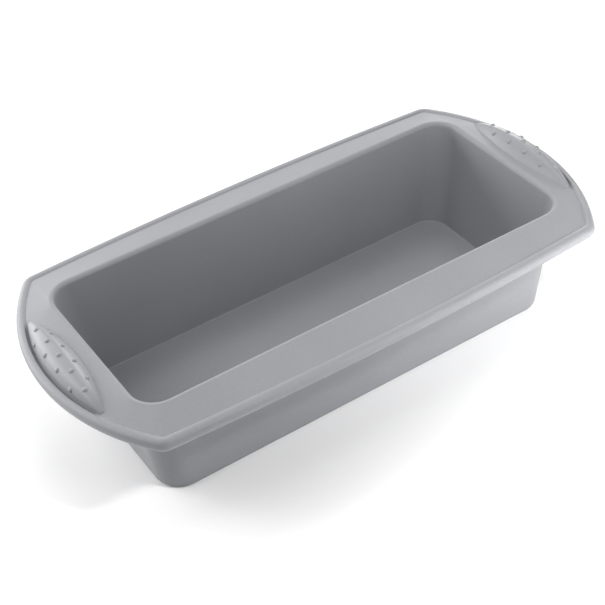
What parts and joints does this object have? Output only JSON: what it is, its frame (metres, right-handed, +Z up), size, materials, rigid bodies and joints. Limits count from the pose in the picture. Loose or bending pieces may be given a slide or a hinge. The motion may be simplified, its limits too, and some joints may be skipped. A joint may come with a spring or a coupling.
{
  "type": "loaf pan",
  "caption": "Flexible rectangular loaf pan with a flange that slopes gently outwards, a round stiffened edge bead and two textured grip pads on its bowed ends.",
  "frame": {"origin": "centre of the flat base, on the surface the pan stands on", "axes": "+X along the pan from the left grip to the right grip, +Y to the back, +Z up out of the mouth"},
  "size_m": [0.28, 0.14, 0.0645],
  "materials": {
    "silicone": "matte",
    "steel": "satin"
  },
  "bodies": {
    "root": {"tub_floor": "silicone", "tub_walls": "silicone", "rim_flange": "silicone", "rim_bead": "silicone", "rim_hoop": "steel", "grip_pad_left": "silicone", "grip_pad_right": "silicone", "grip_nubs_left": "silicone", "grip_nubs_right": "silicone"}
  },
  "joints": []
}
